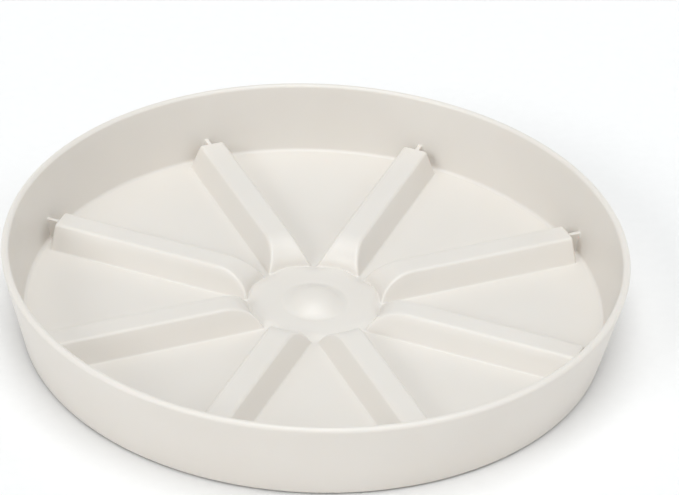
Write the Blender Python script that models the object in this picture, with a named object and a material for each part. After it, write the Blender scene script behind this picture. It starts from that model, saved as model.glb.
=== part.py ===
"""Lazy susan turntable: a ribbed tray on a hidden ball bearing and base plate.

Metres, +Z up, the table top at z = 0 and the spin axis on the Z axis.
"""

import math

import bmesh
import bpy
from mathutils import Matrix, Vector

TAU = 2.0 * math.pi
ROUND_MIDDLE = 1.0 - math.sqrt(0.5)    # how far a rounded edge's middle stays short of the sharp corner

# Tray
RIM_RADIUS = 0.0950            # outer edge of the rim
OVERALL_HEIGHT = 0.0278        # table to the top of the rim
RIM_WIDTH = 0.0024             # thickness of the rounded rim
SKIRT_RADIUS = 0.0887          # outer foot of the wall
SKIRT_CLEARANCE = 0.0008       # table to the foot of the wall
SKIRT_WALL = 0.0018
FLOOR_TOP = 0.0061
FLOOR_RADIUS = 0.0882          # where the floor meets the wall
FLOOR_THICKNESS = 0.0016
FLOOR_FILLET = 0.0010
PAD_RADIUS = 0.0206            # raised pad at the hub
PAD_TOP = 0.0072
PAD_SLOPE = 0.0012             # width of the slope at the pad's edge
HUB_RECESS_RADIUS = 0.0176     # hollow under the hub
DOME_RADIUS = 0.0095
DOME_HEIGHT = 0.0030
BOSS_RADIUS = 0.0040           # post that hangs under the hub
BOSS_BOTTOM = 0.00285
PILOT_RADIUS = 0.0016
PILOT_TOP = 0.0080

# Ribs of the tray
RIB_COUNT = 8
RIB_TOP = 0.0137
RIB_TOP_HALF_WIDTH = 0.0038
RIB_DRAFT = 0.434              # widening of one side per unit of depth
RIB_WALL = 0.0016
RIB_OUTER_END = 0.0856
RIB_END_DRAFT = 0.00015        # how far the outer end leans back
RIB_EDGE_RADIUS = 0.0008
KNEE_RADIUS = 0.0310           # where the rib starts to round down to the hub
SHOULDER_RUN = 0.0110          # radial length of that rounding
SHOULDER_ANGLES = (87.0, 76.0, 64.0, 52.0, 39.0, 26.0, 13.0, 0.0)
RIB_ROOT = 0.0053              # buried foot of a rib, inside the floor
WEB_THICKNESS = 0.0014         # fin from a rib's end to the wall
WEB_TOP = 0.0126
WEB_OVERLAP = 0.0010           # how far the fin reaches into the rib's end wall

# Ball bearing
BALL_COUNT = 24
BALL_RADIUS = 0.00125
BALL_HEIGHT = 0.00325
TRACK_RADIUS = 0.0600
TRACK_CLEARANCE = 0.0001
RAIL_WIDTH = 0.0060
RAIL_BOTTOM = 0.0040
RAIL_TOP = 0.0054
CAGE_HALF_WIDTH = 0.0048
CAGE_THICKNESS = 0.0009
CAGE_POCKET_RADIUS = 0.00150

# Base plate
BASE_RADIUS = 0.0760
BASE_BOTTOM = 0.0008
BASE_TOP = 0.0024
BASE_RIM_TOP = 0.0034
BASE_RIM_WIDTH = 0.0014
GUIDE_OFFSET = 0.0054          # guide rings, measured from the ball track
GUIDE_WIDTH = 0.0011
CROWN_RADIUS = 0.0125          # raised centre of the base
CROWN_RUN = 0.0028
CROWN_TOP = 0.0046
CROWN_UNDERSIDE = 0.0032
CROWN_HOLLOW_TOP = 0.0111      # radius of the hollow under the crown, at its ceiling
CROWN_HOLLOW_FOOT = 0.0133     # and at the underside of the plate
BASE_CHAMFER = 0.0004
STIFFENER_COUNT = 8
STIFFENER_WIDTH = 0.0012
STIFFENER_TOP = 0.0033

# Pivot
BUSH_CLEARANCE = 0.0002
BUSH_WALL = 0.0011
BUSH_FLANGE_RADIUS = 0.0085
BUSH_FLANGE_THICKNESS = 0.0006
WASHER_RADIUS = 0.0066
WASHER_HOLE_RADIUS = 0.00175
WASHER_THICKNESS = 0.0005
SCREW_SHANK_RADIUS = 0.0014
SCREW_SHANK_TOP = 0.0074
SCREW_POINT_LENGTH = 0.0010
SCREW_POINT_RADIUS = 0.0006
SCREW_HEAD_RADIUS = 0.0031
SCREW_HEAD_HEIGHT = 0.0014
SCREW_HEAD_CROWN = 0.0006      # height of the rounded part of the head
SCREW_HEAD_PROFILE = ((1.0, 1.0), (0.93, 0.4), (0.75, 0.0))    # shares of its radius and its crown
DRIVE_WIDTH = 0.0008
DRIVE_LENGTH = 0.0034
DRIVE_DEPTH = 0.0008
SEAT_GAP = 0.00025             # between pieces that rest on each other

# Foot pads
FOOT_COUNT = 6
FOOT_RING_RADIUS = 0.0695
FOOT_RADIUS = 0.0044
FOOT_HEIGHT = 0.0012
FOOT_CHAMFER = 0.0003
RECESS_CLEARANCE = 0.0003
RECESS_CEILING = 0.0014

ROUND_STEPS = 80               # sides of the large turned pieces
SMALL_STEPS = 32               # sides of the small turned pieces
POCKET_STEPS = 16
BALL_SEGMENTS = 10
BALL_RINGS = 6
CUT_MARGIN = 0.0010            # how far a cutter reaches past the faces it cuts
SMOOTH_ANGLE = math.radians(30.0)


def remove_everything():
    for item in list(bpy.data.objects):
        bpy.data.objects.remove(item, do_unlink=True)


def make_material(name, color, roughness, metallic=0.0):
    material = bpy.data.materials.new(name)
    material.use_nodes = True
    shader = material.node_tree.nodes["Principled BSDF"]
    shader.inputs["Base Color"].default_value = (*color, 1.0)
    shader.inputs["Roughness"].default_value = roughness
    shader.inputs["Metallic"].default_value = metallic
    material.diffuse_color = (*color, 1.0)
    return material


def add_object(name, mesh, material=None, parent=None):
    """Put a finished mesh in the scene, smooth over its round faces."""
    item = bpy.data.objects.new(name, mesh)
    bpy.context.scene.collection.objects.link(item)
    if material is not None:
        mesh.materials.append(material)
    mesh.shade_smooth()
    mesh.set_sharp_from_angle(angle=SMOOTH_ANGLE)
    item.parent = parent
    return item


def mesh_from_bmesh(name, bm):
    bmesh.ops.recalc_face_normals(bm, faces=bm.faces)
    mesh = bpy.data.meshes.new(name)
    bm.to_mesh(mesh)
    bm.free()
    return mesh


def arc(center, radius, start, end, steps):
    """Points (r, z) on a circle, with the angles in degrees."""
    points = []
    for step in range(steps + 1):
        angle = math.radians(start + (end - start) * step / steps)
        points.append((center[0] + radius * math.cos(angle), center[1] + radius * math.sin(angle)))
    return points


def turned_mesh(name, outline, steps, closed):
    """Turn an outline of (r, z) points about the Z axis.

    A closed outline makes a ring. An open one starts and ends on the axis.
    """
    bm = bmesh.new()
    rings = []
    for radius, height in outline:
        if radius == 0.0:
            rings.append([bm.verts.new((0.0, 0.0, height))] * steps)
            continue
        ring = []
        for step in range(steps):
            angle = TAU * step / steps
            ring.append(bm.verts.new((radius * math.cos(angle), radius * math.sin(angle), height)))
        rings.append(ring)
    pairs = list(zip(rings, rings[1:]))
    if closed:
        pairs.append((rings[-1], rings[0]))
    for upper, lower in pairs:
        for step in range(steps):
            after = (step + 1) % steps
            corners = [upper[step], upper[after], lower[after], lower[step]]
            bm.faces.new(list(dict.fromkeys(corners)))
    return mesh_from_bmesh(name, bm)


def loft(bm, sections):
    """Skin equal rows of points into one closed body with flat ends."""
    rows = [[bm.verts.new(point) for point in section] for section in sections]
    count = len(rows[0])
    for row, following in zip(rows, rows[1:]):
        for index in range(count):
            after = (index + 1) % count
            bm.faces.new((row[index], row[after], following[after], following[index]))
    bm.faces.new(rows[0])
    bm.faces.new(rows[-1])


def ring_copies(build, count, first_angle):
    """Build the same body at equal steps about the Z axis, in one bmesh."""
    bm = bmesh.new()
    for index in range(count):
        start = len(bm.verts)
        build(bm)
        bm.verts.ensure_lookup_table()
        turn = Matrix.Rotation(first_angle + TAU * index / count, 4, "Z")
        bmesh.ops.transform(bm, matrix=turn, verts=bm.verts[start:])
    return bm


def add_box(bm, low, high):
    center = [(a + b) / 2.0 for a, b in zip(low, high)]
    size = [b - a for a, b in zip(low, high)]
    matrix = Matrix.Translation(center) @ Matrix.Diagonal((*size, 1.0))
    bmesh.ops.create_cube(bm, size=1.0, matrix=matrix)


def add_cylinder(bm, radius, low, high, center=(0.0, 0.0), steps=SMALL_STEPS):
    matrix = Matrix.Translation((center[0], center[1], (low + high) / 2.0))
    bmesh.ops.create_cone(bm, cap_ends=True, segments=steps, radius1=radius, radius2=radius,
                          depth=high - low, matrix=matrix)


def combine(target, tool_bm, operation):
    """Join or cut the target with a hidden tool object."""
    name = f"{target.name}_{operation.lower()}_{len(target.modifiers)}"
    tool = bpy.data.objects.new(name, mesh_from_bmesh(name, tool_bm))
    bpy.context.scene.collection.objects.link(tool)
    tool.hide_render = True
    tool.display_type = "WIRE"
    modifier = target.modifiers.new(name, "BOOLEAN")
    modifier.operation = operation
    modifier.solver = "EXACT"
    modifier.object = tool


def wall_radius(height, inner):
    """Radius of the sloping wall at a height, on its inner or outer face."""
    if inner:
        bottom, top = (FLOOR_RADIUS, FLOOR_TOP), (RIM_RADIUS - RIM_WIDTH, OVERALL_HEIGHT)
    else:
        bottom, top = (SKIRT_RADIUS, SKIRT_CLEARANCE), (RIM_RADIUS, OVERALL_HEIGHT)
    share = (height - bottom[1]) / (top[1] - bottom[1])
    return bottom[0] + share * (top[0] - bottom[0])


def tray_outline():
    """Outline of the tray from the dome, over the rim, to the pilot hole."""
    dome_sphere = (DOME_RADIUS ** 2 + DOME_HEIGHT ** 2) / (2.0 * DOME_HEIGHT)
    dome_center = PAD_TOP + DOME_HEIGHT - dome_sphere
    dome_edge = math.degrees(math.asin((PAD_TOP - dome_center) / dome_sphere))
    points = [(0.0, PAD_TOP + DOME_HEIGHT)]
    points += arc((0.0, dome_center), dome_sphere, 90.0, dome_edge, 6)[1:]
    points += [(PAD_RADIUS - PAD_SLOPE / 2.0, PAD_TOP), (PAD_RADIUS + PAD_SLOPE / 2.0, FLOOR_TOP)]
    points += arc((FLOOR_RADIUS - FLOOR_FILLET, FLOOR_TOP + FLOOR_FILLET), FLOOR_FILLET, 270.0, 345.0, 3)
    lip = RIM_WIDTH / 2.0
    points += arc((RIM_RADIUS - lip, OVERALL_HEIGHT - lip), lip, 180.0, 0.0, 6)
    points += [(SKIRT_RADIUS, SKIRT_CLEARANCE)]
    underside = FLOOR_TOP - FLOOR_THICKNESS
    points += [(SKIRT_RADIUS - SKIRT_WALL, SKIRT_CLEARANCE)]
    points += [(wall_radius(underside, inner=False) - SKIRT_WALL, underside)]
    ceiling = PAD_TOP - FLOOR_THICKNESS
    points += [(HUB_RECESS_RADIUS, underside), (HUB_RECESS_RADIUS - FLOOR_THICKNESS, ceiling)]
    points += [(BOSS_RADIUS, ceiling), (BOSS_RADIUS, BOSS_BOTTOM)]
    points += [(PILOT_RADIUS, BOSS_BOTTOM), (PILOT_RADIUS, PILOT_TOP), (0.0, PILOT_TOP)]
    return points


def rib_section(station, top, bottom, wall, edge_radius, lean=0.0):
    """One cross-section of a rib, a wall thickness inside its outer faces."""
    def half_width(height):
        return RIB_TOP_HALF_WIDTH + (RIB_TOP - height) * RIB_DRAFT - wall * math.hypot(1.0, RIB_DRAFT)

    def side(height, width):
        share = (height - bottom) / (RIB_TOP - bottom)
        return Vector((station - lean * share, width, height))

    radius = min(edge_radius, (top - bottom) / 2.0)
    inset = ROUND_MIDDLE * radius
    right = [side(bottom, half_width(bottom)),
             side(top - radius, half_width(top - radius)),
             side(top - inset, half_width(top) - inset),
             side(top, half_width(top) - radius)]
    left = [Vector((point.x, -point.y, point.z)) for point in reversed(right)]
    return right + left


def shoulder_sections(wall, bottom, edge_radius):
    """Cross-sections of a rib from its foot at the hub up to its knee."""
    run = SHOULDER_RUN - wall
    rise = RIB_TOP - wall - RIB_ROOT
    sections = []
    for degrees in SHOULDER_ANGLES:
        angle = math.radians(degrees)
        station = KNEE_RADIUS - run * math.sin(angle)
        top = RIB_ROOT + rise * math.cos(angle)
        sections.append(rib_section(station, top, bottom, wall, edge_radius))
    return sections


def end_sections(wall, bottom, edge_radius):
    """The last two cross-sections of a rib, at its rounded outer end."""
    end = RIB_OUTER_END - wall
    top = RIB_TOP - wall
    return [rib_section(end - edge_radius, top, bottom, wall, edge_radius),
            rib_section(end, top - 0.5 * edge_radius, bottom, wall, edge_radius, RIB_END_DRAFT)]


def rib_blank(bm):
    """A solid rib along +X."""
    sections = shoulder_sections(0.0, RIB_ROOT, RIB_EDGE_RADIUS)
    sections += end_sections(0.0, RIB_ROOT, RIB_EDGE_RADIUS)
    loft(bm, sections)


def rib_hollows(bm):
    """The two hollows under a rib, on either side of the rail that crosses it."""
    bottom = FLOOR_TOP - 2.0 * FLOOR_THICKNESS
    edge_radius = 0.5 * RIB_EDGE_RADIUS
    top = RIB_TOP - RIB_WALL
    stops = [rib_section(TRACK_RADIUS + side * RAIL_WIDTH / 2.0, top, bottom, RIB_WALL, edge_radius)
             for side in (-1.0, 1.0)]
    loft(bm, shoulder_sections(RIB_WALL, bottom, edge_radius) + stops[:1])
    loft(bm, stops[1:] + end_sections(RIB_WALL, bottom, edge_radius))


def web_body(bm):
    """The fin along +X from a rib's end into the wall."""
    half = WEB_THICKNESS / 2.0
    start = RIB_OUTER_END - WEB_OVERLAP
    sections = []
    for height in (RIB_ROOT, WEB_TOP):
        middle = (wall_radius(height, inner=True) + wall_radius(height, inner=False)) / 2.0
        sections.append([Vector((start, -half, height)), Vector((middle, -half, height)),
                         Vector((middle, half, height)), Vector((start, half, height))])
    loft(bm, sections)


def track_arc(upper, steps=6):
    """The groove that a ball runs in, cut into a face above or below it."""
    radius = BALL_RADIUS + TRACK_CLEARANCE
    face = RAIL_BOTTOM if upper else BASE_TOP
    edge = math.degrees(math.asin((face - BALL_HEIGHT) / radius))
    half_turn = 180.0 if upper else -180.0
    return arc((TRACK_RADIUS, BALL_HEIGHT), radius, edge, half_turn - edge, steps)


def rail_outline():
    inner = TRACK_RADIUS - RAIL_WIDTH / 2.0
    outer = TRACK_RADIUS + RAIL_WIDTH / 2.0
    points = [(inner, RAIL_TOP), (outer, RAIL_TOP), (outer, RAIL_BOTTOM)]
    points += track_arc(upper=True)
    points += [(inner, RAIL_BOTTOM)]
    return points


def base_outline():
    hole = BOSS_RADIUS + 2.0 * BUSH_CLEARANCE + BUSH_WALL
    guide_in = TRACK_RADIUS - GUIDE_OFFSET
    guide_out = TRACK_RADIUS + GUIDE_OFFSET
    rim_in = BASE_RADIUS - BASE_RIM_WIDTH
    points = [(hole, CROWN_UNDERSIDE), (CROWN_HOLLOW_TOP, CROWN_UNDERSIDE)]
    points += [(CROWN_HOLLOW_FOOT, BASE_BOTTOM), (BASE_RADIUS - BASE_CHAMFER, BASE_BOTTOM)]
    points += [(BASE_RADIUS, BASE_BOTTOM + BASE_CHAMFER)]
    points += [(BASE_RADIUS, BASE_RIM_TOP), (rim_in, BASE_RIM_TOP)]
    points += [(rim_in, BASE_TOP)]
    points += [(guide_out + GUIDE_WIDTH, BASE_TOP), (guide_out + GUIDE_WIDTH, BASE_RIM_TOP)]
    points += [(guide_out, BASE_RIM_TOP), (guide_out, BASE_TOP)]
    points += track_arc(upper=False)
    points += [(guide_in, BASE_TOP), (guide_in, BASE_RIM_TOP)]
    points += [(guide_in - GUIDE_WIDTH, BASE_RIM_TOP), (guide_in - GUIDE_WIDTH, BASE_TOP)]
    points += [(CROWN_RADIUS + CROWN_RUN, BASE_TOP), (CROWN_RADIUS, CROWN_TOP), (hole, CROWN_TOP)]
    return points


def make_tray(material, parent):
    half_pitch = TAU / RIB_COUNT / 2.0
    mesh = turned_mesh("tray", tray_outline(), ROUND_STEPS, closed=False)
    tray = add_object("tray", mesh, material, parent)
    combine(tray, ring_copies(rib_blank, RIB_COUNT, half_pitch), "UNION")
    combine(tray, ring_copies(rib_hollows, RIB_COUNT, half_pitch), "DIFFERENCE")
    combine(tray, ring_copies(web_body, RIB_COUNT, half_pitch), "UNION")
    rail = bmesh.new()
    rail.from_mesh(turned_mesh("rail", rail_outline(), ROUND_STEPS, closed=True))
    combine(tray, rail, "UNION")
    return tray


def make_base_plate(material):
    mesh = turned_mesh("base_plate", base_outline(), ROUND_STEPS, closed=True)
    base = add_object("base_plate", mesh, material)
    inner = CROWN_RADIUS
    outer = TRACK_RADIUS - GUIDE_OFFSET - GUIDE_WIDTH / 2.0
    middle = (BASE_BOTTOM + BASE_TOP) / 2.0
    half = STIFFENER_WIDTH / 2.0

    def stiffener(bm):
        add_box(bm, (inner, -half, middle), (outer, half, STIFFENER_TOP))

    def recess(bm):
        add_cylinder(bm, FOOT_RADIUS + RECESS_CLEARANCE, 0.0, RECESS_CEILING, (FOOT_RING_RADIUS, 0.0))

    combine(base, ring_copies(stiffener, STIFFENER_COUNT, 0.0), "UNION")
    combine(base, ring_copies(recess, FOOT_COUNT, 0.0), "DIFFERENCE")
    return base


def make_foot_pads(material, parent):
    outline = [(0.0, FOOT_HEIGHT), (FOOT_RADIUS, FOOT_HEIGHT), (FOOT_RADIUS, FOOT_CHAMFER)]
    outline += [(FOOT_RADIUS - FOOT_CHAMFER, 0.0), (0.0, 0.0)]
    mesh = turned_mesh("foot_pad", outline, SMALL_STEPS, closed=False)
    for index in range(FOOT_COUNT):
        angle = TAU * index / FOOT_COUNT
        pad = add_object(f"foot_pad_{index + 1}", mesh, None if index else material, parent)
        pad.location = (FOOT_RING_RADIUS * math.cos(angle), FOOT_RING_RADIUS * math.sin(angle), 0.0)


def make_pivot_bush(material, parent):
    inner = BOSS_RADIUS + BUSH_CLEARANCE
    outer = inner + BUSH_WALL
    flange_bottom = CROWN_TOP + BUSH_CLEARANCE
    flange_top = flange_bottom + BUSH_FLANGE_THICKNESS
    outline = [(inner, flange_top), (BUSH_FLANGE_RADIUS, flange_top), (BUSH_FLANGE_RADIUS, flange_bottom)]
    outline += [(outer, flange_bottom), (outer, BOSS_BOTTOM), (inner, BOSS_BOTTOM)]
    add_object("pivot_bush", turned_mesh("pivot_bush", outline, SMALL_STEPS, closed=True), material, parent)


def make_retaining_washer(material, parent):
    top = BOSS_BOTTOM - SEAT_GAP
    bottom = top - WASHER_THICKNESS
    outline = [(WASHER_HOLE_RADIUS, top), (WASHER_RADIUS, top)]
    outline += [(WASHER_RADIUS, bottom), (WASHER_HOLE_RADIUS, bottom)]
    mesh = turned_mesh("retaining_washer", outline, SMALL_STEPS, closed=True)
    add_object("retaining_washer", mesh, material, parent)


def make_retaining_screw(material, parent):
    """Pan-head screw that points up, with a cross recess in its head."""
    seat = BOSS_BOTTOM - 2.0 * SEAT_GAP - WASHER_THICKNESS
    bottom = seat - SCREW_HEAD_HEIGHT
    outline = [(0.0, SCREW_SHANK_TOP), (SCREW_POINT_RADIUS, SCREW_SHANK_TOP)]
    outline += [(SCREW_SHANK_RADIUS, SCREW_SHANK_TOP - SCREW_POINT_LENGTH), (SCREW_SHANK_RADIUS, seat)]
    outline += [(SCREW_HEAD_RADIUS, seat)]
    for across, up in SCREW_HEAD_PROFILE:
        outline.append((SCREW_HEAD_RADIUS * across, bottom + SCREW_HEAD_CROWN * up))
    outline += [(0.0, bottom)]
    mesh = turned_mesh("retaining_screw", outline, SMALL_STEPS, closed=False)
    screw = add_object("retaining_screw", mesh, material, parent)
    ceiling = bottom + DRIVE_DEPTH
    for length, width in ((DRIVE_LENGTH, DRIVE_WIDTH), (DRIVE_WIDTH, DRIVE_LENGTH)):
        slot = bmesh.new()
        add_box(slot, (-length / 2.0, -width / 2.0, 0.0), (length / 2.0, width / 2.0, ceiling))
        combine(screw, slot, "DIFFERENCE")


def make_ball_cage(material, parent):
    inner = TRACK_RADIUS - CAGE_HALF_WIDTH
    outer = TRACK_RADIUS + CAGE_HALF_WIDTH
    low = BALL_HEIGHT - CAGE_THICKNESS / 2.0
    high = BALL_HEIGHT + CAGE_THICKNESS / 2.0
    outline = [(inner, high), (outer, high), (outer, low), (inner, low)]
    mesh = turned_mesh("ball_cage", outline, ROUND_STEPS, closed=True)
    cage = add_object("ball_cage", mesh, material, parent)

    def pocket(bm):
        add_cylinder(bm, CAGE_POCKET_RADIUS, low - CUT_MARGIN, high + CUT_MARGIN,
                     (TRACK_RADIUS, 0.0), POCKET_STEPS)

    combine(cage, ring_copies(pocket, BALL_COUNT, TAU / BALL_COUNT / 2.0), "DIFFERENCE")


def make_bearing_balls(material, parent):
    bm = bmesh.new()
    bmesh.ops.create_uvsphere(bm, u_segments=BALL_SEGMENTS, v_segments=BALL_RINGS, radius=BALL_RADIUS)
    mesh = mesh_from_bmesh("bearing_ball", bm)
    for index in range(BALL_COUNT):
        angle = TAU * (index + 0.5) / BALL_COUNT
        ball = add_object(f"bearing_ball_{index + 1:02d}", mesh, None if index else material, parent)
        ball.location = (TRACK_RADIUS * math.cos(angle), TRACK_RADIUS * math.sin(angle), BALL_HEIGHT)
        ball.rotation_euler = (0.0, 0.0, angle)


def add_axis(name):
    """An empty on the spin axis, which a turning group hangs from."""
    axis = bpy.data.objects.new(name, None)
    bpy.context.scene.collection.objects.link(axis)
    return axis


def main():
    remove_everything()
    tray_axis = add_axis("tray_axis")
    cage_axis = add_axis("cage_axis")
    steel = make_material("zinc_steel", (0.62, 0.62, 0.60), 0.35, 1.0)
    make_tray(make_material("ivory_plastic", (0.76, 0.74, 0.70), 0.42), tray_axis)
    base = make_base_plate(make_material("base_plastic", (0.68, 0.67, 0.63), 0.5))
    make_foot_pads(make_material("foot_rubber", (0.12, 0.12, 0.12), 0.8), base)
    make_pivot_bush(make_material("bush_plastic", (0.86, 0.85, 0.80), 0.35), base)
    make_retaining_washer(steel, tray_axis)
    make_retaining_screw(make_material("screw_steel", (0.55, 0.55, 0.54), 0.3, 1.0), tray_axis)
    make_ball_cage(make_material("cage_plastic", (0.80, 0.79, 0.74), 0.45), cage_axis)
    make_bearing_balls(make_material("ball_steel", (0.70, 0.70, 0.70), 0.12, 1.0), cage_axis)


main()
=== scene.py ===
"""Looks of the lazy susan turntable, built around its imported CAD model."""

import math

import bmesh
import bpy
import numpy as np
from mathutils import Matrix, Vector


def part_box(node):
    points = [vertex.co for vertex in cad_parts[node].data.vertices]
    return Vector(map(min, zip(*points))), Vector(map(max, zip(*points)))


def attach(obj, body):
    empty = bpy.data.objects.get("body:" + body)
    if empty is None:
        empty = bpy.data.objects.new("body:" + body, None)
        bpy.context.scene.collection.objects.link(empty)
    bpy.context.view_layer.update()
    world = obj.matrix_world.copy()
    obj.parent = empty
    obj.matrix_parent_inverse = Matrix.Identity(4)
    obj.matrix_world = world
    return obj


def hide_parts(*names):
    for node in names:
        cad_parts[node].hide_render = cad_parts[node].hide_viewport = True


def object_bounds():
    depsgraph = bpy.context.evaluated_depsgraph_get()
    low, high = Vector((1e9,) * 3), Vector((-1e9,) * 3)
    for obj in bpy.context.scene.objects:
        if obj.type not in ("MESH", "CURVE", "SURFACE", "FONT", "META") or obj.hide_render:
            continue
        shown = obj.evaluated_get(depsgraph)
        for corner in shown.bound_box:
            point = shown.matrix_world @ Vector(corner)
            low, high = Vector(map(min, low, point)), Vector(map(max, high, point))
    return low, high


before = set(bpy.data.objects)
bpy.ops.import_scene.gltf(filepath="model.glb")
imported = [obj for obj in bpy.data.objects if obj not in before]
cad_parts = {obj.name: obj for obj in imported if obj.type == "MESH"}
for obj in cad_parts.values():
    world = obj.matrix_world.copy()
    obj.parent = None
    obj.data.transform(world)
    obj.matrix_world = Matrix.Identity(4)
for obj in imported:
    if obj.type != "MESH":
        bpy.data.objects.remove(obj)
cad_low, cad_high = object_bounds()

TAU = 2.0 * math.pi
MM = 0.001
SHARP_ANGLE = math.radians(38.0)     # faces that meet more steeply keep a hard edge
WELD = 0.003 * MM                    # points nearer than this become one after a Boolean
CUT_MARGIN = 0.3 * MM                # how far a cutter reaches past the faces it cuts
HALVINGS = 40                        # steps in the search for a surface's height

# ---------------------------------------------------------------- sizes of the tray, in metres
RIM_RADIUS = cad_high.x
RIM_TOP = cad_high.z
RIM_ROUND = 1.2 * MM                 # radius of the rounded rim
OUTER_LEAN = 13.5                    # degrees from upright, outside of the wall
INNER_LEAN = 12.0                    # and its inside at the rim
SKIRT_RADIUS = 88.7 * MM             # outer foot of the wall
SKIRT_WALL = 1.8 * MM
SKIRT_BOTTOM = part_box("tray")[0].z
SKIRT_FLARE = 0.86 * MM              # the skirt's inside is this much wider at the floor than at its foot
SKIRT_CORNER = 0.6 * MM              # rounding where its inside meets the floor's underside
FOOT_ROUND = 0.45 * MM
FOOT_SHIFT = 0.1 * FOOT_ROUND        # the rounds at its foot sit this far outward, because the wall leans
FLOOR_TOP = 6.1 * MM
FLOOR_UNDERSIDE = 4.5 * MM
FLOOR_RADIUS = 88.2 * MM
FLOOR_FILLET = 1.0 * MM

PAD_FOOT = 21.5 * MM                 # where the pad's soft edge reaches the floor
PAD_TOP = 7.2 * MM
PAD_EDGE_RIB = 1.7 * MM              # width of the pad's soft edge in line with a rib
PAD_EDGE_SECTOR = 5.0 * MM           # and between two ribs
DOME_RADIUS = 8.8 * MM
DOME_HEIGHT = 3.0 * MM
DOME_FILLET = 1.0 * MM
DIP_DEPTH = 0.04 * MM                # slight sink round the dome
DIP_RADIUS = DOME_RADIUS + 1.4 * MM
DIP_WIDTH = 1.2 * MM
HUB_UNDERSIDE = 5.6 * MM
HUB_RECESS_RADIUS = 16.8 * MM
HUB_RECESS_SLOPE = 1.2 * MM          # half the width of the slope at its edge
BOSS_RADIUS = 4.0 * MM
BOSS_BOTTOM = 2.85 * MM
PILOT_RADIUS = 1.6 * MM
PILOT_TOP = 8.0 * MM

RIB_COUNT = 8
RIB_TOP = 13.7 * MM
RIB_HALF_WIDTH = 3.8 * MM            # at the top
RIB_DRAFT = 0.434                    # widening of a side per unit of depth
RIB_END = 85.45 * MM
RIB_END_DRAFT = 0.02
RIB_WALL = 1.6 * MM
RIB_EDGE = 0.8 * MM                  # rounding of the rib's outer edges
HOLLOW_EDGE = 0.4 * MM               # and of the edges of the hollow inside it
RIB_FILLET = 0.4 * MM                # where the rib rises from the floor
MOUTH_FILLET = 0.25 * MM             # where its hollow opens in the underside
KNEE_RADIUS = 31.0 * MM              # the rib rounds down to the hub from here
SHOULDER_RUN = 10.7 * MM
SHOULDER_ROOT = 5.3 * MM
SHOULDER_LEAST = 0.05 * MM           # keeps the shoulder's field clear of its own centre
WEB_HALF = 0.70 * MM
WEB_TOP = 12.6 * MM
WEB_DRAFT = 0.01
WEB_OVERLAP = 1.0 * MM               # how far the web reaches into the rib's end
WEB_ROUND = 0.25 * MM

RAIL_HALF = 3.0 * MM                 # rail that the balls run under
RAIL_BOTTOM = 4.0 * MM
TURNED_EDGE = 0.3 * MM               # rounding of the rail and the boss

# ---------------------------------------------------------------- mesh rows and columns of the tray
HALF_PITCH = math.pi / RIB_COUNT
FAN_RADIUS = 20.5 * MM               # inside this the mesh columns run straight to the axis
FAN_COLUMNS = 9                      # columns between a rib's foot and the middle of its sector
FAN_SHARE = 0.975                    # share of half a sector that a rib's columns may fill
COLUMN_GAP = 0.05 * MM

# Distances from a rib's centre line at which the mesh has a column, for the top: web, top face,
# edge, side, foot. Then for the underside: ceiling of the hollow, inner edge, side, mouth.
# The stops are the centre line, the edge's two sides, the foot and the last column.
TOP_COLUMNS = MM * np.array([0, 0.45, 0.62, 0.74, 0.9, 1.7, 2.6, 3.2, 3.33, 3.48, 3.63, 3.77, 3.9, 4.0,
                             4.1, 5.0, 6.2, 6.85, 6.95, 7.05, 7.17, 7.3, 7.45, 7.6, 7.75])
TOP_STOPS = MM * np.array([0, 3.33, 4.0, 6.85, 7.75])
UNDER_COLUMNS = MM * np.array([0, 0.6, 1.2, 1.8, 2.2, 2.35, 2.5, 2.6, 2.7, 2.8, 2.9, 3.1, 3.5, 4.0,
                               4.6, 5.2, 5.7, 5.9, 6.0, 6.1, 6.2, 6.35, 6.6, 7.1, 7.75])
UNDER_STOPS = MM * np.array([0, 2.35, 2.9, 5.7, 7.75])

# Stretches of rows (start radius, end radius, rows), in millimetres and closest where the surface
# bends: dome, its fillet, pad, pad's edge, shoulders, ribs, their ends, webs, floor's fillet, wall.
TOP_STRETCHES = ((0.6, 9.0, 12), (9.0, 13.5, 12), (13.5, 19.4, 6), (19.4, 22.4, 20), (22.4, 31.6, 24),
                 (31.6, 83.2, 26), (83.2, 84.2, 5), (84.2, 85.8, 26), (85.8, 87.0, 5), (87.0, 88.7, 22),
                 (88.7, 89.3, 4), (89.3, 89.9, 12), (89.9, 92.5, 7))
# From the skirt inward: ends of the hollows, hollows, rail with its groove, hollows, their
# shoulders, hub recess, boss, pilot hole.
UNDER_STRETCHES = ((86.2, 84.4, 4), (84.4, 82.6, 18), (82.6, 63.4, 10), (63.4, 62.6, 10), (62.6, 61.3, 3),
                   (61.3, 60.8, 6), (60.8, 59.2, 8), (59.2, 58.7, 6), (58.7, 57.4, 3), (57.4, 56.6, 10),
                   (56.6, 31.6, 12), (31.6, 21.0, 26), (21.0, 14.8, 14), (14.8, 4.5, 5), (4.5, 3.9, 12),
                   (3.9, 3.5, 5), (3.5, 1.7, 3), (1.7, 1.56, 4), (1.5, 0.3, 2))
# Spans of radii, in millimetres, where rows turn from arcs to lines square across the ribs and back:
# start, fully square, start of the way back, end.
TOP_SQUARE_SPANS = ((36.0, 60.0, 86.2, 87.0),)
UNDER_SQUARE_SPANS = ((36.0, 50.0, 51.0, 55.0), (66.0, 72.0, 84.6, 86.0))
TOP_SEARCH = (5.0 * MM, 27.5 * MM)   # heights between which the surface lies
UNDER_SEARCH = (0.5 * MM, 13.0 * MM)
RIM_STEPS = 18
WALL_STEPS = 10
FOOT_STEPS = 6

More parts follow.
